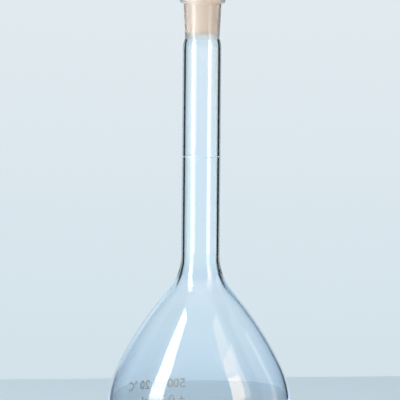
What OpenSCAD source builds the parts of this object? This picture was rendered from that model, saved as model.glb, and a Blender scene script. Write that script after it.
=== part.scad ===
// Volumetric flask of 500 ml: a blown bulb, a straight neck with its graduation ring, a ground socket
// and a hollow moulded stopper. Millimetres, +Z up the neck, origin at the centre of the foot.

/* [Flask] */
// Height of the glass, from the bench to the rim
flask_h = 260; // [240:1:300]
// Height of the graduation ring above the bench
mark_h = 170; // [145:0.5:215]

/* [Bulb] */
// Diameter at the belly, the widest level of the bulb
belly_d = 100; // [93:0.5:110]
// Height of the belly above the bench
belly_h = 31; // [26:0.5:36]
// Radius of the shoulder that rises from the belly
shoulder_r = 58; // [52:1:70]
// Slope at which the shoulder passes into the flank, from the vertical, in degrees
shoulder_turn = 26.5; // [23:0.5:30]
// Radius of the long, nearly straight flank above the shoulder
flank_r = 185; // [120:5:215]
// Slope of the flank's top, from the vertical, in degrees
flank_slope = 39.5; // [34:0.5:41]
// Radius of the hollow flare that leads the flank into the neck
flare_r = 29; // [24:1:44]
// Radius of the bowl that falls from the belly
bowl_r = 43; // [39:0.5:46]
// Radius of the heel that turns the bowl under to the foot
heel_r = 12; // [9:0.5:15]
// Width of the flat ring that the flask stands on
foot_w = 3; // [2:0.5:6]
// Rise of the kick, the hollow in the middle of the foot
kick_h = 3.6; // [2:0.5:7]
// Wall of the bulb
bulb_wall = 1.4; // [1:0.1:2.2]
// Straight stub above the flare, where the neck is sealed on
stub_h = 3; // [1:0.5:8]

/* [Neck] */
// Outer diameter of the neck
neck_d = 21; // [19:0.1:22]
// Wall of the neck
neck_wall = 1.6; // [1.2:0.05:1.8]
// Height over which the top of the neck draws in to the socket
waist_h = 5.6; // [4:0.1:8]

/* [Graduation ring] */
// Height of the fired line
mark_line = 0.5; // [0.3:0.05:0.8]
// How far the fired line stands out from the glass
mark_raise = 0.06; // [0.04:0.01:0.1]

/* [Ground socket] */
// Wide diameter of the ground cone, at the rim
cone_d = 18.8; // [18.3:0.1:19.4]
// Length of the ground cone
cone_l = 26; // [22:0.5:30]
// Length over which the cone narrows by one unit of diameter
taper = 10; // [9.5:0.1:11]
// Wall round the ground cone
socket_wall = 1.25; // [1:0.05:1.5]
// Outer diameter of the rolled rim
rim_d = 24.8; // [23.5:0.1:28]
// Height of the rolled rim
rim_h = 6.6; // [5:0.1:8]
// Roundness of the rolled rim
rim_round = 1.5; // [0.8:0.1:1.8]
// Roundness of the mouth
mouth_round = 0.5; // [0.3:0.1:0.8]

/* [Stopper] */
// Length of shank that sits in the socket
shank_l = 23; // [18:0.2:25]
// Clearance between the shank and the ground cone, on the radius
shank_gap = 0.04; // [0.02:0.01:0.1]
// Wall of the shank
shank_wall = 1.6; // [1.2:0.1:2.2]
// Thickness of the shank's closed end
shank_end = 2; // [1.2:0.1:3]
// Gap that stays between the rim and the collar
collar_gap = 0.8; // [0.3:0.1:2]
// Diameter of the round collar under the grip
collar_d = 22.6; // [21.5:0.1:24]
// Height of the round collar
collar_h = 2.2; // [1:0.1:4]
// Width of the octagonal grip, across its flats
grip_w = 27; // [25:0.5:34]
// Height of the octagonal grip
grip_h = 11; // [8:0.5:16]
// Roundness of the grip's top and bottom edges
grip_round = 1.2; // [0.5:0.1:2]
// How much the grip's eight corners are turned down, on the radius
grip_corner = 0.5; // [0.2:0.1:0.8]
// Diameter of the hollow in the top of the grip
well_d = 20.5; // [18:0.5:21.5]
// Depth of the hollow in the top of the grip
well_h = 7.5; // [4:0.5:9]

/* [Hidden] */
$fn = 96;

glass = [0.78, 0.87, 0.93, 0.55];
enamel = "whitesmoke";
polyethylene = "#efdcc8";
grip_sides = 8;
outline_tol = 0.01;  // how far a rounded outline may cut inside its true arc

belly_r = belly_d / 2;
neck_r = neck_d / 2;
bore_r = neck_r - neck_wall;
bowl_axis = belly_r - bowl_r;
shoulder_c = [belly_r - shoulder_r, belly_h];
flank_c = shoulder_c - (flank_r - shoulder_r) * [cos(shoulder_turn), sin(shoulder_turn)];

// The heel lies inside the bowl's circle and touches it, so it ends the bowl without a break.
foot_out = bowl_axis + sqrt(pow(bowl_r - heel_r, 2) - pow(belly_h - heel_r, 2));
foot_in = foot_out - foot_w;
heel_turn = atan2(heel_r - belly_h, foot_out - bowl_axis);
kick_r = (pow(foot_in, 2) + pow(kick_h, 2)) / (2 * kick_h);
kick_z = kick_h - kick_r;

flare_z = flare_top(0, neck_r);
bulb_top = flare_z + stub_h;
socket_low = flask_h - cone_l;
neck_top = socket_low - waist_h;

cone_low_r = cone_r(socket_low);
rim_low = flask_h - rim_h;
shank_low = flask_h - shank_l;
collar_low = flask_h + collar_gap;
grip_low = collar_low + collar_h;
grip_top = grip_low + grip_h;
grip_out_r = grip_w / 2 / cos(180 / grip_sides) - grip_corner;

// Radius of the ground cone at height z
function cone_r(z) = (cone_d - (flask_h - z) / taper) / 2;

// Radius of the shank at height z
function shank_r(z) = cone_r(z) - shank_gap;

// Points of an arc about c, from angle a to angle b
function arc(c, r, a, b) =
    let (n = max(2, ceil(abs(b - a) / (2 * acos(1 - outline_tol / r)))))
    [for (i = [0:n]) let (t = a + (b - a) * i / n) [c.x + r * cos(t), c.y + r * sin(t)]];

// Top of the flank's arc, on the surface that lies w deep in the glass
function flank_top(w) = flank_c + (flank_r - w) * [cos(flank_slope), sin(flank_slope)];

// Height at which the flare reaches the straight neck of radius r, on the surface w deep in the glass
function flare_top(w, r) =
    let (p = flank_top(w), f = flare_r + w)
    p.y + (f - (r + f - p.x) * cos(flank_slope)) / sin(flank_slope);

// One side of the bulb's wall, w deep in the glass, from the foot up to a neck of radius r
function bulb_side(w, r) = concat(
    arc([foot_out, heel_r], heel_r - w, -90, heel_turn),
    arc([bowl_axis, belly_h], bowl_r - w, heel_turn, 0),
    arc(shoulder_c, shoulder_r - w, 0, shoulder_turn),
    arc(flank_c, flank_r - w, shoulder_turn, flank_slope),
    arc([r + flare_r + w, flare_top(w, r)], flare_r + w, 180 + flank_slope, 180),
    [[r, bulb_top]]);

// The kick from the axis out to height z, on the surface w deep in the glass
function kick_side(w, z) =
    let (r = kick_r + w)
    arc([0, kick_z], r, 90, asin((z - kick_z) / r));

// The neck's wall drawn in from radius r at the neck's top to radius s at the socket
function waist_side(r, s) =
    let (d = r - s, big = (pow(waist_h, 2) + pow(d, 2)) / (2 * d))
    arc([r - big, neck_top], big, 0, asin(waist_h / big));

// A closed outline through corners [x, y, round], each turned to its own radius; 0 leaves it sharp
function rounded(p) =
    let (n = len(p))
    [for (i = [0:n - 1]) each turned(p[(i + n - 1) % n], p[i], p[(i + 1) % n])];

function turned(a, b, c) =
    b[2] == 0 ? [[b.x, b.y]] :
    let (
        u = toward(b, a),
        v = toward(b, c),
        half = acos(u * v) / 2,
        m = (u + v) / norm(u + v),
        centre = [b.x, b.y] + m * b[2] / sin(half),
        leg = b[2] / tan(half),
        from = [b.x, b.y] + u * leg - centre,
        to = [b.x, b.y] + v * leg - centre,
        a0 = atan2(from.y, from.x),
        sweep = atan2(from.x * to.y - from.y * to.x, from * to))
    arc(centre, b[2], a0, a0 + sweep);

function toward(b, a) = let (d = [a.x - b.x, a.y - b.y]) d / norm(d);

function reversed(p) = [for (i = [len(p) - 1:-1:0]) p[i]];

// The blown bulb, with its ring foot, its kick and the stub that carries the neck
module bulb() {
    outside = concat(kick_side(0, 0), bulb_side(0, neck_r));
    inside = concat(kick_side(bulb_wall, bulb_wall), bulb_side(bulb_wall, bore_r));
    color(glass)
    rotate_extrude()
    polygon(concat(outside, reversed(inside)));
}

// The straight tube between the bulb and the socket
module neck_tube() {
    color(glass)
    translate([0, 0, bulb_top])
    difference() {
        cylinder(h = neck_top - bulb_top, r = neck_r);
        translate([0, 0, -1])
        cylinder(h = neck_top - bulb_top + 2, r = bore_r);
    }
}

// The drawn-in waist, the ground cone and the rolled rim
module ground_socket() {
    outer_low_r = cone_low_r + socket_wall;
    outer_high_r = cone_r(rim_low) + socket_wall;
    rim_r = rim_d / 2;
    outside = concat(
        waist_side(neck_r, outer_low_r),
        turned([outer_low_r, socket_low, 0], [outer_high_r, rim_low, rim_round / 2], [rim_r, rim_low, 0]),
        turned([outer_high_r, rim_low, 0], [rim_r, rim_low, rim_round], [rim_r, flask_h, 0]),
        turned([rim_r, rim_low, 0], [rim_r, flask_h, rim_round], [cone_r(flask_h), flask_h, 0]),
        turned([rim_r, flask_h, 0], [cone_r(flask_h), flask_h, mouth_round], [cone_low_r, socket_low, 0]));
    color(glass)
    rotate_extrude()
    polygon(concat(outside, reversed(waist_side(bore_r, cone_low_r))));
}

// The fired line of the mark, right round the neck
module graduation_ring() {
    color(enamel)
    translate([0, 0, mark_h - mark_line / 2])
    difference() {
        cylinder(h = mark_line, r = neck_r + mark_raise);
        translate([0, 0, -1])
        cylinder(h = mark_line + 2, r = neck_r);
    }
}

// An octagonal bar with its corners turned down and its ends rounded
module grip() {
    intersection() {
        translate([0, 0, grip_low])
        rotate(180 / grip_sides)
        cylinder(h = grip_h, r = grip_w / 2 / cos(180 / grip_sides), $fn = grip_sides);
        rotate_extrude()
        polygon(rounded([
            [0, grip_low, 0],
            [grip_out_r, grip_low, grip_round],
            [grip_out_r, grip_top, grip_round],
            [0, grip_top, 0]]));
    }
}

// The collar and the tapered shank, as one solid bar
module shank() {
    rotate_extrude()
    polygon(rounded([
        [0, shank_low, 0],
        [shank_r(shank_low), shank_low, 1],
        [shank_r(collar_low), collar_low, 0],
        [collar_d / 2, collar_low, 0.4],
        [collar_d / 2, grip_low + 1, 0],
        [0, grip_low + 1, 0]]));
}

// The well in the grip and the long hollow of the shank
module stopper_hollow() {
    floor_z = grip_top - well_h;
    end_z = shank_low + shank_end;
    rotate_extrude()
    polygon(rounded([
        [0, end_z, 0],
        [shank_r(end_z) - shank_wall, end_z, 1],
        [shank_r(floor_z) - shank_wall, floor_z, 0.6],
        [well_d / 2, floor_z, 1.2],
        [well_d / 2, grip_top, 0],
        [well_d / 2, grip_top + 1, 0],
        [0, grip_top + 1, 0]]));
}

// The hollow moulded stopper
module stopper() {
    color(polyethylene)
    difference() {
        union() {
            grip();
            shank();
        }
        stopper_hollow();
    }
}

bulb();
neck_tube();
ground_socket();
graduation_ring();
stopper();
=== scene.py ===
import math

import bmesh
import bpy
from mathutils import Matrix, Vector


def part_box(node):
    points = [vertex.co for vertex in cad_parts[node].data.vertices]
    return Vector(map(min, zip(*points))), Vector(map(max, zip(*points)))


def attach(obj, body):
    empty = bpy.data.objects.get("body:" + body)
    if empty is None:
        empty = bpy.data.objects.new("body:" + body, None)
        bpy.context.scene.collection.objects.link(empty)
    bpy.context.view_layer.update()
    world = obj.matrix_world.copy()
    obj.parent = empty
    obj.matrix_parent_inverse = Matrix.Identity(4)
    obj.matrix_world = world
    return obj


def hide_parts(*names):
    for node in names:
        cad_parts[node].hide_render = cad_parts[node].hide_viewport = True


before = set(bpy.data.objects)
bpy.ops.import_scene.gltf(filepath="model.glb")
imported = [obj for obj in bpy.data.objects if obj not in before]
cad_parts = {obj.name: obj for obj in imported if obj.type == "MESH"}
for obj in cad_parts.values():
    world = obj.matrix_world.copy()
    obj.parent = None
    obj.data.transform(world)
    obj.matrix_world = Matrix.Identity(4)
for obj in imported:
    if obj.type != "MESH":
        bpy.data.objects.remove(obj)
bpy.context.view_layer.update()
scene = bpy.context.scene
mm = 0.001


def toLinear(hexColour):
    # the standard sRGB curve
    parts = [int(hexColour[i:i + 2], 16) / 255 for i in (1, 3, 5)]
    linear = [c / 12.92 if c <= 0.04045 else ((c + 0.055) / 1.055) ** 2.4 for c in parts]
    return (*linear, 1)


def addNode(tree, kind, values=None, links=None, **settings):
    node = tree.nodes.new(kind)
    for name, value in settings.items():
        setattr(node, name, value)
    for socket, value in (values or {}).items():
        node.inputs[socket].default_value = value
    for socket, source in (links or {}).items():
        tree.links.new(source, node.inputs[socket])
    return node


def newMaterial(name):
    material = bpy.data.materials.new(name)
    material.use_nodes = True
    tree = material.node_tree
    tree.nodes.clear()
    return material, tree


def fillRamp(ramp, stops):
    for index, (at, colour) in enumerate(stops):
        stop = ramp.elements[index] if index < 2 else ramp.elements.new(at)
        stop.position = at
        stop.color = toLinear(colour)


def endWithShadow(tree, surface, tint):
    # the glass throws a pale shadow, as light goes through it
    clear = addNode(tree, "ShaderNodeBsdfTransparent", {"Color": toLinear(tint)})
    path = addNode(tree, "ShaderNodeLightPath")
    mixed = addNode(
        tree,
        "ShaderNodeMixShader",
        links={0: path.outputs["Is Shadow Ray"], 1: surface.outputs[0], 2: clear.outputs[0]},
    )
    addNode(tree, "ShaderNodeOutputMaterial", links={"Surface": mixed.outputs[0]})


def onceMirrored(tree, path):
    # 1 for light that a mirroring surface has sent on, 0 for all other
    return addNode(
        tree,
        "ShaderNodeMath",
        {1: 0.5},
        {0: path.outputs["Glossy Depth"]},
        operation="GREATER_THAN",
    )


# Walls are drawn with a pen in the XZ plane, in millimetres, and then turned about Z.
near = 0.01  # points or heights closer than this are taken for one
weldGap = 0.0005
joinStep = 1.5  # longest piece of a straight stretch that leads to an arc


def pointAt(bm, x, z):
    return bm.verts.new((x, 0, z))


def lineTo(bm, last, x, z, longest=50):
    start = last.co.copy()
    end = Vector((x, 0, z))
    steps = max(1, math.ceil((end - start).length / longest))
    for step in range(1, steps + 1):
        last = bmesh.ops.extrude_vert_indiv(bm, verts=[last])["verts"][0]
        last.co = start.lerp(end, step / steps)
    return last


def arcTo(bm, last, centre, radius, start, end, longest):
    # starts with a straight stretch where the pen isn't at the arc yet
    middle = Vector((centre[0], 0, centre[1]))
    begin = math.radians(start)
    first = middle + radius * Vector((math.cos(begin), 0, math.sin(begin)))
    if (first - last.co).length > near:
        last = lineTo(bm, last, first.x, first.z, joinStep)
    turn = math.radians(end - start)
    steps = max(3, math.ceil(abs(turn) * radius / longest))
    made = bmesh.ops.spin(bm, geom=[last], cent=middle, axis=(0, -1, 0), angle=turn, steps=steps)
    return [v for v in made["geom_last"] if isinstance(v, bmesh.types.BMVert)][0]


def turnRound(bm, sides):
    # turns the lines that carry no faces yet
    bmesh.ops.spin(
        bm,
        geom=[v for v in bm.verts if not v.link_faces] + [e for e in bm.edges if not e.link_faces],
        cent=(0, 0, 0),
        axis=(0, 0, 1),
        angle=2 * math.pi,
        steps=sides,
        use_merge=True,
    )
    bmesh.ops.remove_doubles(bm, verts=bm.verts[:], dist=weldGap)
    bmesh.ops.recalc_face_normals(bm, faces=bm.faces[:])


def roundCorner(bm, corner, size, segments=6):
    bmesh.ops.bevel(
        bm,
        geom=[corner],
        offset=size,
        offset_type="OFFSET",
        affect="VERTICES",
        segments=segments,
        profile=0.5,
        material=-1,
    )


def bevelEdges(bm, edges, size, segments):
    bmesh.ops.bevel(
        bm,
        geom=edges,
        offset=size,
        offset_type="OFFSET",
        affect="EDGES",
        segments=segments,
        profile=0.5,
        material=-1,
    )


sharpAngle = math.radians(40)


def makePiece(bm, name, materials):
    bmesh.ops.scale(bm, vec=(mm, mm, mm), verts=bm.verts[:])
    mesh = bpy.data.meshes.new(name)
    bm.to_mesh(mesh)
    bm.free()
    for material in materials:
        mesh.materials.append(material)
    mesh.polygons.foreach_set("use_smooth", [True] * len(mesh.polygons))
    mesh.set_sharp_from_angle(angle=sharpAngle)
    piece = bpy.data.objects.new(name, mesh)
    scene.collection.objects.link(piece)
    print("made", name, len(mesh.polygons), "faces")
    return piece


# Borosilicate tube and bulb, fire-polished: mirror smooth, a faint cold tint made darker and greyer low on
# the bulb as painted shade for the bench seen through it, a satin rim, and a scuffed ring where the foot
# slides on benches.
# Here and in the looks below, heights, pitches and depths are in millimetres.
glassLook = dict(
    tallest=274,
    tintsWithPaintedShade=(  # by height, for one wall
        (36, "#e8ebed"),
        (46, "#ecf4fa"),
        (55, "#f0f7fd"),
        (60, "#f2f9fe"),
        (75, "#f6fcff"),
        (90, "#f6fcff"),
        (105, "#f4faff"),
        (112, "#f9fdfe"),
        (130, "#f8fdff"),
        (229, "#f9fdff"),
        (236, "#fcfdfd"),
    ),
    ior=1.473,
    wavePitch=14,  # the slight ripple of drawn and blown glass
    waveHeight=0.011,
    footWear=0.5,
    footRough=0.3,
    rimStart=253,
    rimFade=0.4,
    rimRough=0.4,
    shadowTint="#f3f8fc",
)


def borosilicate():
    g = glassLook
    material, tree = newMaterial("fire-polished borosilicate")
    place = addNode(tree, "ShaderNodeTexCoord")
    axes = addNode(tree, "ShaderNodeSeparateXYZ", links={"Vector": place.outputs["Object"]})
    height = axes.outputs["Z"]
    share = addNode(tree, "ShaderNodeMapRange", {"From Max": g["tallest"] * mm}, {"Value": height})
    # tint by height for one wall: partly a faint cold tint, and darker low on the bulb as painted shade
    tint = addNode(tree, "ShaderNodeValToRGB", links={"Fac": share.outputs["Result"]})
    fillRamp(tint.color_ramp, [(z / g["tallest"], colour) for z, colour in g["tintsWithPaintedShade"]])
    wear = addNode(
        tree,
        "ShaderNodeMapRange",
        {"From Min": 0, "From Max": g["footWear"] * mm, "To Min": g["footRough"], "To Max": 0},
        {"Value": height},
    )
    rim = addNode(
        tree,
        "ShaderNodeMapRange",
        {
            "From Min": g["rimStart"] * mm,
            "From Max": (g["rimStart"] + g["rimFade"]) * mm,
            "To Max": g["rimRough"],
        },
        {"Value": height},
    )
    rough = addNode(
        tree,
        "ShaderNodeMath",
        links={0: wear.outputs["Result"], 1: rim.outputs["Result"]},
        operation="ADD",
    )
    wave = addNode(
        tree,
        "ShaderNodeTexNoise",
        {"Scale": 1 / (g["wavePitch"] * mm), "Detail": 1},
        {"Vector": place.outputs["Object"]},
    )
    bump = addNode(
        tree,
        "ShaderNodeBump",
        {"Strength": 1, "Distance": g["waveHeight"] * mm},
        {"Height": wave.outputs["Fac"]},
    )
    glass = addNode(
        tree,
        "ShaderNodeBsdfPrincipled",
        {"IOR": g["ior"], "Transmission Weight": 1},
        {
            "Base Color": tint.outputs["Color"],
            "Roughness": rough.outputs[0],
            "Normal": bump.outputs["Normal"],
        },
    )
    endWithShadow(tree, glass, g["shadowTint"])
    return material


# Ground inner cone: a fine matt grey that scatters what lies behind it, with painted shade at its slanting
# edges.
groundLook = dict(
    tint="#f3f4f3",
    paintedEdgeShade="#c4bfb8",
    edgeStart=0.08,
    edgeEnd=0.36,
    edges=(  # by height, how far the edge goes to paintedEdgeShade
        (236.4, "#ffffff"),
        (236.9, "#bcbcbc"),
        (252.6, "#bcbcbc"),
        (253.4, "#dcdcdc"),
    ),
    roughLow=0.63,
    roughHigh=0.76,
    grit=0.25,  # real grit is near 0.05, drawn coarser so that it shows
    gritRelief=0.6,
    gritHeight=0.012,
    shadowTint="#f4f4f2",
)


def groundGlass():
    g = groundLook
    material, tree = newMaterial("ground borosilicate")
    place = addNode(tree, "ShaderNodeTexCoord")
    grit = addNode(
        tree,
        "ShaderNodeTexNoise",
        {"Scale": 1 / (g["grit"] * mm), "Detail": 3},
        {"Vector": place.outputs["Object"]},
    )
    bump = addNode(
        tree,
        "ShaderNodeBump",
        {"Strength": g["gritRelief"], "Distance": g["gritHeight"] * mm},
        {"Height": grit.outputs["Fac"]},
    )
    rough = addNode(
        tree,
        "ShaderNodeMapRange",
        {"To Min": g["roughLow"], "To Max": g["roughHigh"]},
        {"Value": grit.outputs["Fac"]},
    )
    # painted shade: greyer where the cone is seen at a slant, most of all below the stopper and in the rim
    slant = addNode(tree, "ShaderNodeLayerWeight", {"Blend": 0.5})
    along = addNode(
        tree,
        "ShaderNodeMapRange",
        {"From Min": g["edgeStart"], "From Max": g["edgeEnd"]},
        {"Value": slant.outputs["Facing"]},
    )
    axes = addNode(tree, "ShaderNodeSeparateXYZ", links={"Vector": place.outputs["Object"]})
    tallest = glassLook["tallest"]
    share = addNode(tree, "ShaderNodeMapRange", {"From Max": tallest * mm}, {"Value": axes.outputs["Z"]})
    zones = addNode(tree, "ShaderNodeValToRGB", links={"Fac": share.outputs["Result"]})
    fillRamp(zones.color_ramp, [(z / tallest, grey) for z, grey in g["edges"]])
    edge = addNode(
        tree,
        "ShaderNodeMath",
        links={0: along.outputs["Result"], 1: zones.outputs["Color"]},
        operation="MULTIPLY",
    )
    tint = addNode(
        tree,
        "ShaderNodeMix",
        {6: toLinear(g["tint"]), 7: toLinear(g["paintedEdgeShade"])},
        {0: edge.outputs[0]},
        data_type="RGBA",
    )
    glass = addNode(
        tree,
        "ShaderNodeBsdfPrincipled",
        {"IOR": glassLook["ior"], "Transmission Weight": 1},
        {
            "Base Color": tint.outputs[2],
            "Roughness": rough.outputs["Result"],
            "Normal": bump.outputs["Normal"],
        },
    )
    endWithShadow(tree, glass, g["shadowTint"])
    return material


# Ceramic ink fired on: a pale matt film with a fine grain. The ring's is thin, and the glass shows through.
# The grain is drawn coarser than the screen's mesh, so that it shows.
inkLook = dict(ior=1.52, grain=0.3, grainRelief=0.4, grainHeight=0.01)
ringLook = dict(pale="#d6e6ef", dark="#c8d9e4", rough=0.42, cover=0.24)
markLook = dict(pale="#ded2c2", dark="#cbbfaf", rough=0.5, cover=1)


def firedEnamel(name, e):
    ink = inkLook
    material, tree = newMaterial(name)
    place = addNode(tree, "ShaderNodeTexCoord")
    grain = addNode(
        tree,
        "ShaderNodeTexNoise",
        {"Scale": 1 / (ink["grain"] * mm), "Detail": 4},
        {"Vector": place.outputs["Object"]},
    )
    shade = addNode(
        tree,
        "ShaderNodeMix",
        {6: toLinear(e["dark"]), 7: toLinear(e["pale"])},
        {0: grain.outputs["Fac"]},
        data_type="RGBA",
    )
    bump = addNode(
        tree,
        "ShaderNodeBump",
        {"Strength": ink["grainRelief"], "Distance": ink["grainHeight"] * mm},
        {"Height": grain.outputs["Fac"]},
    )
    enamel = addNode(
        tree,
        "ShaderNodeBsdfPrincipled",
        {"Roughness": e["rough"], "IOR": ink["ior"], "Alpha": e["cover"]},
        {"Base Color": shade.outputs[2], "Normal": bump.outputs["Normal"]},
    )
    addNode(tree, "ShaderNodeOutputMaterial", links={"Surface": enamel.outputs[0]})
    return material


# Natural polyethylene, injection moulded: warm milky satin that light soaks a little way into. The hollow
# and
# the well are painted paler: painted light that lifts the shade inside them.
stopperLook = dict(
    body="#d6c2b0",
    shade="#cdb8a6",
    # painted light: the paler colour inside the hollow and the well
    hollow="#f1e6dc",
    hollowLow=238.5,
    hollowR=8.12,
    wellLow=266.4,
    wellFade=0.5,
    wellR=10.4,
    rough=0.38,
    ior=1.51,
    shine=0.35,
    soak=0.6,
    soakDepth=4,
    soakColours=(1.0, 0.8, 0.65),  # red light goes deepest
    mottle=5,
    skin=0.35,  # the mould's texture, drawn coarser so that it shows
    skinRelief=0.5,
    skinHeight=0.008,
)


def mouldedPolyethylene():
    s = stopperLook
    material, tree = newMaterial("moulded natural polyethylene")
    place = addNode(tree, "ShaderNodeTexCoord")
    mottle = addNode(
        tree,
        "ShaderNodeTexNoise",
        {"Scale": 1 / (s["mottle"] * mm), "Detail": 2},
        {"Vector": place.outputs["Object"]},
    )
    colour = addNode(
        tree,
        "ShaderNodeMix",
        {6: toLinear(s["shade"]), 7: toLinear(s["body"])},
        {0: mottle.outputs["Fac"]},
        data_type="RGBA",
    )
    # the paler zone of painted light, by its distance from the axis and its height
    axes = addNode(tree, "ShaderNodeSeparateXYZ", links={"Vector": place.outputs["Object"]})
    level = addNode(tree, "ShaderNodeCombineXYZ", links={"X": axes.outputs["X"], "Y": axes.outputs["Y"]})
    out = addNode(tree, "ShaderNodeVectorMath", links={0: level.outputs["Vector"]}, operation="LENGTH")
    reach = addNode(
        tree,
        "ShaderNodeMapRange",
        {
            "From Min": (s["wellLow"] - s["wellFade"]) * mm,
            "From Max": s["wellLow"] * mm,
            "To Min": s["hollowR"] * mm,
            "To Max": s["wellR"] * mm,
        },
        {"Value": axes.outputs["Z"]},
    )
    within = addNode(
        tree,
        "ShaderNodeMath",
        links={0: out.outputs["Value"], 1: reach.outputs["Result"]},
        operation="LESS_THAN",
    )
    over = addNode(
        tree,
        "ShaderNodeMath",
        {1: s["hollowLow"] * mm},
        {0: axes.outputs["Z"]},
        operation="GREATER_THAN",
    )
    inside = addNode(
        tree,
        "ShaderNodeMath",
        links={0: within.outputs[0], 1: over.outputs[0]},
        operation="MULTIPLY",
    )
    pale = addNode(
        tree,
        "ShaderNodeMix",
        {7: toLinear(s["hollow"])},
        {0: inside.outputs[0], 6: colour.outputs[2]},
        data_type="RGBA",
    )
    skin = addNode(
        tree,
        "ShaderNodeTexNoise",
        {"Scale": 1 / (s["skin"] * mm), "Detail": 2},
        {"Vector": place.outputs["Object"]},
    )
    bump = addNode(
        tree,
        "ShaderNodeBump",
        {"Strength": s["skinRelief"], "Distance": s["skinHeight"] * mm},
        {"Height": skin.outputs["Fac"]},
    )
    plastic = addNode(
        tree,
        "ShaderNodeBsdfPrincipled",
        {
            "Roughness": s["rough"],
            "IOR": s["ior"],
            "Specular IOR Level": s["shine"],
            "Subsurface Weight": s["soak"],
            "Subsurface Radius": s["soakColours"],
            "Subsurface Scale": s["soakDepth"] * mm,
        },
        {"Base Color": pale.outputs[2], "Normal": bump.outputs["Normal"]},
    )
    addNode(tree, "ShaderNodeOutputMaterial", links={"Surface": plastic.outputs[0]})
    return material


# The glass, sizes in millimetres. The heights and widths that the frame holds are read from it.
wall = dict(
    bellyZ=31,  # height of the widest ring
    shoulderR=58,
    shoulderTurn=26.5,  # degrees
    flankR=185,
    flankSlope=39.5,  # degrees
    flareR=29,
    bowlR=43,
    heelR=12,
    footW=3,
    kickH=3.6,
    bulbT=1.4,
    neckT=1.7,
    waistH=5.6,  # the neck narrows over this height to meet the socket
    coneD=18.8,
    coneL=26,
    taper=10,  # 1 in 10 on the diameter
    socketT=1.25,
    rimH=6.6,
    rimRound=1.5,
    mouthRound=0.5,
    sealZ=107,  # the swelling outside, where the neck was sealed on
    sealH=0.07,
    sealSpread=1.6,
    thickZ=101.5,  # the glass gathered inside the flare
    thickH=0.85,
    thickSpread=7.5,
    sides=180,
    heelStep=0.8,  # the longest step along each curve
    bellyStep=1.2,
    flankStep=1.4,
    flareStep=0.45,
    kickStep=1.5,
    waistStep=0.4,
    coneStep=4,
    groundReach=0.05,  # faces this near the cone are ground
)


def bulbArcs(depth, bore):
    # each arc's centre, radius, two angles and longest step, from the foot to the neck
    w = wall
    belly = (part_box("bulb")[1].x / mm, w["bellyZ"])
    bowl = (belly[0] - w["bowlR"], w["bellyZ"])
    footX = bowl[0] + math.sqrt((w["bowlR"] - w["heelR"]) ** 2 - (w["bellyZ"] - w["heelR"]) ** 2)
    heelEnd = math.degrees(math.atan2(w["heelR"] - w["bellyZ"], footX - bowl[0]))
    shoulder = (belly[0] - w["shoulderR"], w["bellyZ"])
    reach = w["flankR"] - w["shoulderR"]
    turn = math.radians(w["shoulderTurn"])
    flank = (shoulder[0] - reach * math.cos(turn), shoulder[1] - reach * math.sin(turn))
    slope = math.radians(w["flankSlope"])
    topX = flank[0] + (w["flankR"] - depth) * math.cos(slope)
    topZ = flank[1] + (w["flankR"] - depth) * math.sin(slope)
    flareR = w["flareR"] + depth
    flareX = bore + flareR
    flareZ = topZ + (flareR - (flareX - topX) * math.cos(slope)) / math.sin(slope)
    return [
        ((footX, w["heelR"]), w["heelR"] - depth, -90, heelEnd, w["heelStep"]),
        (bowl, w["bowlR"] - depth, heelEnd, 0, w["bellyStep"]),
        (shoulder, w["shoulderR"] - depth, 0, w["shoulderTurn"], w["bellyStep"]),
        (flank, w["flankR"] - depth, w["shoulderTurn"], w["flankSlope"], w["flankStep"]),
        ((flareX, flareZ), flareR, 180 + w["flankSlope"], 180, w["flareStep"]),
    ]


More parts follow.
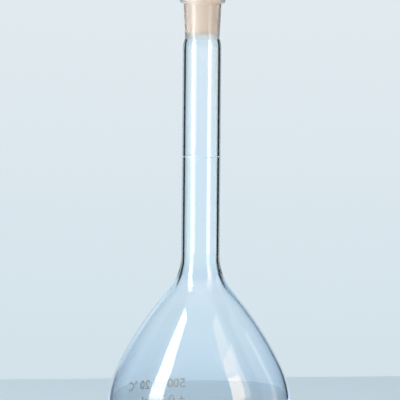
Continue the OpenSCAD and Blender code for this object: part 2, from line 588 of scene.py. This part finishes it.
def glassBody(clear, ground):
    w = wall
    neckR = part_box("neck_tube")[1].x / mm
    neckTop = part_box("neck_tube")[1].z / mm
    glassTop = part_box("ground_socket")[1].z / mm
    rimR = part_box("ground_socket")[1].x / mm
    boreR = neckR - w["neckT"]
    coneLow = glassTop - w["coneL"]
    coneTopR = w["coneD"] / 2
    coneLowR = coneTopR - w["coneL"] / w["taper"] / 2
    rimLow = glassTop - w["rimH"]
    outsideArcs = bulbArcs(0, neckR)
    insideArcs = bulbArcs(w["bulbT"], boreR)
    footX = outsideArcs[0][0][0]
    footIn = footX - w["footW"]
    kickR = (footIn**2 + w["kickH"] ** 2) / (2 * w["kickH"])
    kick = (0, w["kickH"] - kickR)

    bm = bmesh.new()
    # outside, from the middle of the kick up to the mouth
    last = pointAt(bm, 0, w["kickH"])
    kickEnd = math.degrees(math.acos(footIn / kickR))
    last = arcTo(bm, last, kick, kickR, 90, kickEnd, w["kickStep"])
    for arc in outsideArcs:
        last = arcTo(bm, last, *arc)
    waistIn = neckR - coneLowR - w["socketT"]
    waistR = (w["waistH"] ** 2 + waistIn**2) / (2 * waistIn)
    waistEnd = math.degrees(math.asin(w["waistH"] / waistR))
    last = arcTo(bm, last, (neckR - waistR, neckTop), waistR, 0, waistEnd, w["waistStep"])
    collarX = coneTopR - w["rimH"] / w["taper"] / 2 + w["socketT"]
    underRim = lineTo(bm, last, collarX, rimLow, w["coneStep"])
    rimFoot = lineTo(bm, underRim, rimR, rimLow)
    rimTop = lineTo(bm, rimFoot, rimR, glassTop)
    mouth = lineTo(bm, rimTop, coneTopR, glassTop)
    outside = set(bm.verts)
    # inside, from the mouth down the ground cone and the bore to the middle of the floor
    last = lineTo(bm, mouth, coneLowR, coneLow, w["coneStep"])
    boreIn = boreR - coneLowR
    boreWaistR = (w["waistH"] ** 2 + boreIn**2) / (2 * boreIn)
    boreWaistEnd = math.degrees(math.asin(w["waistH"] / boreWaistR))
    boreWaist = (boreR - boreWaistR, neckTop)
    last = arcTo(bm, last, boreWaist, boreWaistR, boreWaistEnd, 0, w["waistStep"])
    for centre, radius, start, end, longest in reversed(insideArcs):
        last = arcTo(bm, last, centre, radius, end, start, longest)
    kickInR = kickR + w["bulbT"]
    kickInStart = math.degrees(math.asin((w["bulbT"] - kick[1]) / kickInR))
    arcTo(bm, last, kick, kickInR, kickInStart, 90, w["kickStep"])
    roundCorner(bm, underRim, w["rimRound"] / 2)
    roundCorner(bm, rimFoot, w["rimRound"])
    roundCorner(bm, rimTop, w["rimRound"])
    roundCorner(bm, mouth, w["mouthRound"])
    # the seal between neck and bulb, as the flame left it
    offAxis = [v for v in bm.verts if v.co.x > 1]
    for v in offAxis:
        v.co.x += w["sealH"] * math.exp(-(((v.co.z - w["sealZ"]) / w["sealSpread"]) ** 2))
        if v not in outside:
            v.co.x -= w["thickH"] * math.exp(-(((v.co.z - w["thickZ"]) / w["thickSpread"]) ** 2))
    turnRound(bm, w["sides"])
    # the ground cone inside, up to the rounded mouth
    for face in bm.faces:
        middle = face.calc_center_median()
        spread = math.hypot(middle.x, middle.y)
        coneR = coneTopR - (glassTop - middle.z) / w["taper"] / 2
        if coneLow < middle.z < glassTop - w["mouthRound"] and spread < coneR + w["groundReach"]:
            face.material_index = 1
    return makePiece(bm, "glassBody", [clear, ground])


clearGlass = borosilicate()
mattGlass = groundGlass()
ringEnamel = firedEnamel("fired pale enamel", ringLook)
markEnamel = firedEnamel("fired grey enamel", markLook)
polyethylene = mouldedPolyethylene()

body = glassBody(clearGlass, mattGlass)
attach(body, "flask")
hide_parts("bulb", "neck_tube", "ground_socket")

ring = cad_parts["graduation_ring"]
ring.data.materials.clear()
ring.data.materials.append(ringEnamel)
print("dressed the graduation ring")


# Hollow moulded stopper: octagonal grip, round collar and tapered shank, sizes in millimetres
plug = dict(
    sides=96,
    wallStep=3,
    gripSides=8,
    gripLow=263,
    gripWide=27,
    gripCorner=2.5,
    gripEdge=1.2,
    endNormal=0.999,
    flatArea=15,  # larger faces are the grip's flats
    flatBorder=0.25,
    partingZ=268.5,
    partingHalf=0.14,
    partingDeep=0.05,
    collarD=22.6,
    collarLow=260.8,
    collarRound=0.4,
    shankGap=0.04,
    shankRound=1,
    shankT=1.6,
    endT=2,
    endRound=1,
    lipRound=0.6,
    wellD=20.5,
    wellH=7.5,
    wellRound=1.2,
    wellMouth=0.35,
    endBorder=0.5,  # the turned rims that meet the octagon
    topBorder=0.6,
    gateD=3.2,
    gateDeep=0.35,
    gateFlare=0.2,
    pipD=1.2,
    pipFlare=0.05,
    pipLow=0.1,
)


def mouldedStopper(material):
    p = plug
    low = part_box("stopper")[0].z / mm
    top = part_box("stopper")[1].z / mm
    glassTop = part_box("ground_socket")[1].z / mm

    def shankR(z):
        return (wall["coneD"] - (glassTop - z) / wall["taper"]) / 2 - p["shankGap"]

    # the octagonal bar of the grip, open at both ends
    bm = bmesh.new()
    halfSide = math.pi / p["gripSides"]
    across = p["gripWide"] / 2 / math.cos(halfSide)
    bmesh.ops.create_cone(
        bm,
        cap_ends=True,
        segments=p["gripSides"],
        radius1=across,
        radius2=across,
        depth=top - p["gripLow"],
    )
    bmesh.ops.rotate(bm, cent=(0, 0, 0), matrix=Matrix.Rotation(halfSide, 3, "Z"), verts=bm.verts[:])
    bmesh.ops.translate(bm, vec=(0, 0, (top + p["gripLow"]) / 2), verts=bm.verts[:])
    upright = [e for e in bm.edges if abs(e.verts[0].co.z - e.verts[1].co.z) > near]
    bevelEdges(bm, upright, p["gripCorner"], segments=6)
    level = [e for e in bm.edges if abs(e.verts[0].co.z - e.verts[1].co.z) < near]
    bevelEdges(bm, level, p["gripEdge"], segments=5)
    bm.normal_update()
    ends = [f for f in bm.faces if abs(f.normal.z) > p["endNormal"]]
    bmesh.ops.delete(bm, geom=ends, context="FACES_ONLY")
    # the parting line of the mould, a fine groove round the grip
    for z in (-p["partingHalf"], 0, p["partingHalf"]):
        bmesh.ops.bisect_plane(
            bm,
            geom=bm.verts[:] + bm.edges[:] + bm.faces[:],
            plane_co=(0, 0, p["partingZ"] + z),
            plane_no=(0, 0, 1),
        )
    sunk = 1 - 2 * p["partingDeep"] / p["gripWide"]
    groove = [v for v in bm.verts if abs(v.co.z - p["partingZ"]) < near]
    bmesh.ops.scale(bm, vec=(sunk, sunk, 1), verts=groove)
    flats = [f for f in bm.faces if f.calc_area() > p["flatArea"]]
    bmesh.ops.inset_individual(bm, faces=flats, thickness=p["flatBorder"], depth=0)

    # underneath: collar, shank and its closed end with the gate in a dimple
    last = pointAt(bm, p["collarD"] / 2 + p["endBorder"], p["gripLow"])
    last = lineTo(bm, last, p["collarD"] / 2, p["gripLow"])
    collarEdge = lineTo(bm, last, p["collarD"] / 2, p["collarLow"])
    last = lineTo(bm, collarEdge, shankR(p["collarLow"]), p["collarLow"])
    endEdge = lineTo(bm, last, shankR(low), low, p["wallStep"])
    last = lineTo(bm, endEdge, p["gateD"] / 2, low)
    last = lineTo(bm, last, p["gateD"] / 2 - p["gateFlare"], low + p["gateDeep"])
    last = lineTo(bm, last, p["pipD"] / 2, low + p["gateDeep"])
    last = lineTo(bm, last, p["pipD"] / 2 - p["pipFlare"], low + p["pipLow"])
    lineTo(bm, last, 0, low + p["pipLow"])
    # inside: the shank's hollow and the well of the grip
    floor = top - p["wellH"]
    last = pointAt(bm, 0, low + p["endT"])
    hollowEnd = lineTo(bm, last, shankR(low + p["endT"]) - p["shankT"], low + p["endT"])
    lip = lineTo(bm, hollowEnd, shankR(floor) - p["shankT"], floor, p["wallStep"])
    wellFoot = lineTo(bm, lip, p["wellD"] / 2, floor)
    wellMouth = lineTo(bm, wellFoot, p["wellD"] / 2, top)
    lineTo(bm, wellMouth, p["wellD"] / 2 + p["topBorder"], top)
    roundCorner(bm, collarEdge, p["collarRound"], segments=4)
    roundCorner(bm, endEdge, p["shankRound"])
    roundCorner(bm, hollowEnd, p["endRound"])
    roundCorner(bm, lip, p["lipRound"], segments=4)
    roundCorner(bm, wellFoot, p["wellRound"])
    roundCorner(bm, wellMouth, p["wellMouth"], segments=3)
    turnRound(bm, p["sides"])
    # the flat rings that close the grip's two ends
    for z in (p["gripLow"], top):
        rims = [e for e in bm.edges if e.is_boundary and abs(e.verts[0].co.z - z) < near]
        bmesh.ops.triangle_fill(bm, use_beauty=True, use_dissolve=False, edges=rims)
    bmesh.ops.recalc_face_normals(bm, faces=bm.faces[:])
    return makePiece(bm, "mouldedStopper", [material])


stopper = mouldedStopper(polyethylene)
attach(stopper, "stopper")
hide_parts("stopper")


# The marking fired on the back of the bulb: two plain lines, read from behind. Sizes in millimetres.
marking = dict(
    lines=(("500 ml 20 °C", 36.6), ("± 0.25 ml", 27.3)),
    letter=7.2,
    bolder=0.1,
    curveSteps=4,
    startAngle=9,  # degrees round from the back
    lift=0.03,  # off the glass
)


def firedMarking(material):
    m = marking
    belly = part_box("bulb")[1].x / mm

    def bulbR(z):
        rise = z - wall["bellyZ"]
        turn = wall["shoulderR"] if rise > 0 else wall["bowlR"]
        return belly - turn + math.sqrt(turn**2 - rise**2)

    bm = bmesh.new()
    for text, base in m["lines"]:
        curve = bpy.data.curves.new("words", "FONT")
        curve.body = text
        curve.size = m["letter"]
        curve.offset = m["bolder"]
        curve.resolution_u = m["curveSteps"]
        flat = bpy.data.objects.new("words", curve)
        scene.collection.objects.link(flat)
        bpy.context.view_layer.update()
        mesh = bpy.data.meshes.new_from_object(flat)
        bpy.data.objects.remove(flat)
        older = set(bm.verts)
        bm.from_mesh(mesh)
        fresh = [v for v in bm.verts if v not in older]
        bmesh.ops.translate(bm, vec=(0, base, 0), verts=fresh)
    # cut into strips a millimetre wide, to bend round the glass
    wide = max(v.co.x for v in bm.verts)
    for step in range(1, math.ceil(wide)):
        bmesh.ops.bisect_plane(
            bm,
            geom=bm.verts[:] + bm.edges[:] + bm.faces[:],
            plane_co=(step, 0, 0),
            plane_no=(1, 0, 0),
        )
    for v in bm.verts:
        radius = bulbR(v.co.y) + m["lift"]
        angle = math.radians(m["startAngle"]) + v.co.x / radius
        v.co = Vector((-radius * math.sin(angle), radius * math.cos(angle), v.co.y))
    return makePiece(bm, "firedMarking", [material])


words = firedMarking(markEnamel)
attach(words, "flask")


# The studio: a pale bench in millimetres, a pale blue backdrop, and the room that the glass mirrors.
# The heights in backdrop and room are sines of the angle above the horizon.
studio = dict(
    benchBack=357,
    benchTurn=7,
    benchWide=5000,
    benchDeep=3400,
    benchThick=30,
    benchRound=3,
    backdropLow=-0.16,
    backdropHigh=0.04,
    ambient="#e8edf0",
    ambientLevel=0.7,
    ceilingLow=-0.03,
    ceilingHigh=0.17,
    roomLevel=1.4,
)
# The backdrop from its foot up, a little deeper towards the bench
backdropShades = (
    (0.12, "#d3e2ea"),
    (0.24, "#d8e5ec"),
    (0.42, "#dfe9ef"),
    (0.62, "#e3ecf0"),
)
# What mirrored light meets round the room, by the bearing from the backdrop's middle, in degrees:
# dark beside the backdrop, pale behind the camera
room = (
    (-180, "#e0eef8"),
    (-110, "#e0eef8"),
    (-84, "#a4b4c0"),
    (-70, "#0a1722"),
    (-26, "#0a1722"),
    (-21, "#b4c3cb"),
    (17, "#b4c3cb"),
    (21, "#030609"),
    (72, "#030609"),
    (86, "#a4b4c0"),
    (112, "#e0eef8"),
    (180, "#e0eef8"),
)
# The same above it
overhead = (
    (-180, "#ccd7de"),
    (-114, "#ccd7de"),
    (-98, "#4a5660"),
    (-77, "#4a5660"),
    (-66, "#8095a5"),
    (-55, "#56656f"),
    (-46, "#26323c"),
    (-35, "#26323c"),
    (-27, "#c0d6e4"),
    (-18, "#b4cad8"),
    (18, "#98b1c4"),
    (28, "#3c4a55"),
    (42, "#3c4a55"),
    (58, "#6b7d8a"),
    (77, "#4a5660"),
    (98, "#4a5660"),
    (114, "#ccd7de"),
    (180, "#ccd7de"),
)
# Bearings from the camera's side towards -X, in degrees; distances in millimetres; level is the radiance.
# The softbox lights the object, and the others are windows and cards that are only mirrored in it.
lamps = dict(
    softbox=dict(away=800, bearing=57, wide=290, low=5, high=1560, level=5.4, tone="#ffffff", lights=True),
    softboxFace=dict(away=799, bearing=57, wide=270, low=215, high=1560, level=3.5, tone="#fffaf2"),
    lowWindow=dict(away=820, bearing=-49, wide=300, low=5, high=215, level=3.3, tone="#ffffff"),
    window=dict(away=820, bearing=-53, wide=270, low=218, high=620, level=6, tone="#ffdab2"),
    windowSide=dict(away=820, bearing=-66.5, wide=120, low=218, high=900, level=2, tone="#ffdab2"),
    windowHead=dict(away=820, bearing=-53, wide=290, low=623, high=900, level=3, tone="#ffc890"),
    warmGlow=dict(away=820, bearing=-52, wide=330, low=903, high=1500, level=1.7, tone="#ffd29c"),
    sideStrip=dict(away=890, bearing=-113, wide=110, low=5, high=620, level=0.9, tone="#fff0c8"),
    sideCard=dict(away=900, bearing=-102, wide=380, low=5, high=1000, level=0.4, tone="#ffffff"),
)
# Painted board: an even pale matt, faintly cloudy. In mirrored light it glows a fixed pale blue: a painted
# reflection.
benchLook = dict(
    paint="#e1f3fc",
    cloud="#e2f3fa",
    cloudScale=6,  # clouds about 170 mm wide
    rough=0.6,
    shine=0.2,
    paintedReflection="#c6e1ff",
    paintedReflectionLevel=1.32,
)


def benchMaterial():
    b = benchLook
    material, tree = newMaterial("pale painted bench")
    place = addNode(tree, "ShaderNodeTexCoord")
    cloud = addNode(
        tree,
        "ShaderNodeTexNoise",
        {"Scale": b["cloudScale"], "Detail": 2},
        {"Vector": place.outputs["Object"]},
    )
    colour = addNode(
        tree,
        "ShaderNodeMix",
        {6: toLinear(b["paint"]), 7: toLinear(b["cloud"])},
        {0: cloud.outputs["Fac"]},
        data_type="RGBA",
    )
    paint = addNode(
        tree,
        "ShaderNodeBsdfPrincipled",
        {"Roughness": b["rough"], "Specular IOR Level": b["shine"]},
        {"Base Color": colour.outputs[2]},
    )
    # painted reflection: the glow that mirrored light meets in place of the lit paint
    paintedReflection = addNode(
        tree,
        "ShaderNodeEmission",
        {"Color": toLinear(b["paintedReflection"]), "Strength": b["paintedReflectionLevel"]},
    )
    path = addNode(tree, "ShaderNodeLightPath")
    mirrored = onceMirrored(tree, path)
    mixed = addNode(
        tree,
        "ShaderNodeMixShader",
        links={0: mirrored.outputs[0], 1: paint.outputs[0], 2: paintedReflection.outputs[0]},
    )
    addNode(tree, "ShaderNodeOutputMaterial", links={"Surface": mixed.outputs[0]})
    return material


def buildBench():
    s = studio
    bm = bmesh.new()
    bmesh.ops.create_cube(bm, size=1)
    bmesh.ops.scale(bm, vec=(s["benchWide"], s["benchDeep"], s["benchThick"]), verts=bm.verts[:])
    bevelEdges(bm, bm.edges[:], s["benchRound"], segments=3)
    middle = (0, s["benchBack"] - s["benchDeep"] / 2, -s["benchThick"] / 2)
    bmesh.ops.translate(bm, vec=middle, verts=bm.verts[:])
    turn = Matrix.Rotation(math.radians(s["benchTurn"]), 3, "Z")
    bmesh.ops.rotate(bm, cent=(0, s["benchBack"], 0), matrix=turn, verts=bm.verts[:])
    bench = makePiece(bm, "bench", [benchMaterial()])


def uprightLamp(name, away, bearing, wide, low, high, level, tone, lights=False):
    lamp = bpy.data.lights.new(name, "AREA")
    lamp.shape = "RECTANGLE"
    lamp.size = wide * mm
    lamp.size_y = (high - low) * mm
    lamp.energy = level * math.pi * lamp.size * lamp.size_y
    lamp.color = toLinear(tone)[:3]
    lampObject = bpy.data.objects.new(name, lamp)
    scene.collection.objects.link(lampObject)
    angle = math.radians(bearing)
    spot = Vector((-math.sin(angle) * away, -math.cos(angle) * away, (low + high) / 2)) * mm
    lampObject.location = spot
    lampObject.rotation_euler = Vector((spot.x, spot.y, 0)).to_track_quat("Z", "Y").to_euler()
    lampObject.visible_camera = False
    lampObject.visible_diffuse = lights


def buildWorld():
    s = studio
    world = bpy.data.worlds.new("studio")
    scene.world = world
    world.use_nodes = True
    tree = world.node_tree
    tree.nodes.clear()
    place = addNode(tree, "ShaderNodeTexCoord")
    axes = addNode(tree, "ShaderNodeSeparateXYZ", links={"Vector": place.outputs["Generated"]})
    rise = addNode(
        tree,
        "ShaderNodeMapRange",
        {"From Min": s["backdropLow"], "From Max": s["backdropHigh"]},
        {"Value": axes.outputs["Z"]},
    )
    backdrop = addNode(tree, "ShaderNodeValToRGB", links={"Fac": rise.outputs["Result"]})
    fillRamp(backdrop.color_ramp, backdropShades)
    # the room, which only mirrored light meets
    bearing = addNode(
        tree,
        "ShaderNodeMath",
        links={0: axes.outputs["X"], 1: axes.outputs["Y"]},
        operation="ARCTAN2",
    )
    round360 = addNode(
        tree,
        "ShaderNodeMapRange",
        {"From Min": -math.pi, "From Max": math.pi},
        {"Value": bearing.outputs[0]},
    )
    walls = addNode(tree, "ShaderNodeValToRGB", links={"Fac": round360.outputs["Result"]})
    fillRamp(walls.color_ramp, [((at + 180) / 360, colour) for at, colour in room])
    above = addNode(tree, "ShaderNodeValToRGB", links={"Fac": round360.outputs["Result"]})
    fillRamp(above.color_ramp, [((at + 180) / 360, colour) for at, colour in overhead])
    upward = addNode(
        tree,
        "ShaderNodeMapRange",
        {"From Min": s["ceilingLow"], "From Max": s["ceilingHigh"]},
        {"Value": axes.outputs["Z"]},
        interpolation_type="SMOOTHSTEP",
    )
    roomColour = addNode(
        tree,
        "ShaderNodeMix",
        links={0: upward.outputs["Result"], 6: walls.outputs["Color"], 7: above.outputs["Color"]},
        data_type="RGBA",
    )
    lifted = addNode(
        tree,
        "ShaderNodeVectorMath",
        {"Scale": s["roomLevel"]},
        {0: roomColour.outputs[2]},
        operation="SCALE",
    )
    path = addNode(tree, "ShaderNodeLightPath")
    mirrored = onceMirrored(tree, path)
    seen = addNode(
        tree,
        "ShaderNodeMix",
        links={0: mirrored.outputs[0], 6: backdrop.outputs["Color"], 7: lifted.outputs["Vector"]},
        data_type="RGBA",
    )
    # backdrop and room are seen, mirrored and seen through; all other light meets the ambient colour
    direct = addNode(
        tree,
        "ShaderNodeMath",
        links={0: path.outputs["Is Camera Ray"], 1: path.outputs["Is Glossy Ray"]},
        operation="MAXIMUM",
    )
    through = addNode(
        tree,
        "ShaderNodeMath",
        links={0: direct.outputs[0], 1: path.outputs["Is Transmission Ray"]},
        operation="MAXIMUM",
    )
    ambient = [c * s["ambientLevel"] for c in toLinear(s["ambient"])[:3]]
    colour = addNode(
        tree,
        "ShaderNodeMix",
        {6: (*ambient, 1)},
        {0: through.outputs[0], 7: seen.outputs[2]},
        data_type="RGBA",
    )
    sky = addNode(tree, "ShaderNodeBackground", {"Strength": 1}, {"Color": colour.outputs[2]})
    addNode(tree, "ShaderNodeOutputWorld", links={"Surface": sky.outputs[0]})


buildBench()
buildWorld()
for lampName, lamp in lamps.items():
    uprightLamp(lampName, **lamp)
print("lit the studio")

# Distances in millimetres, angles in degrees; across is the width of the view at the flask
view = dict(
    aim=(-0.46, 0, 146),
    away=2750,
    rise=5.75,
    roll=0.5,
    across=218,
    sensor=36,
    nearest=100,
    farthest=50000,
)


def placeCamera():
    v = view
    data = bpy.data.cameras.new("camera")
    data.sensor_width = v["sensor"]
    data.lens = v["sensor"] * v["away"] / v["across"]
    data.clip_start = v["nearest"] * mm
    data.clip_end = v["farthest"] * mm
    camera = bpy.data.objects.new("camera", data)
    scene.collection.objects.link(camera)
    rise = math.radians(v["rise"])
    back = Vector((0, -math.cos(rise), math.sin(rise)))
    camera.location = (Vector(v["aim"]) + back * v["away"]) * mm
    turn = (-back).to_track_quat("-Z", "Y").to_matrix() @ Matrix.Rotation(math.radians(v["roll"]), 3, "Z")
    camera.rotation_euler = turn.to_euler()
    scene.camera = camera


placeCamera()
scene.view_settings.view_transform = "Standard"
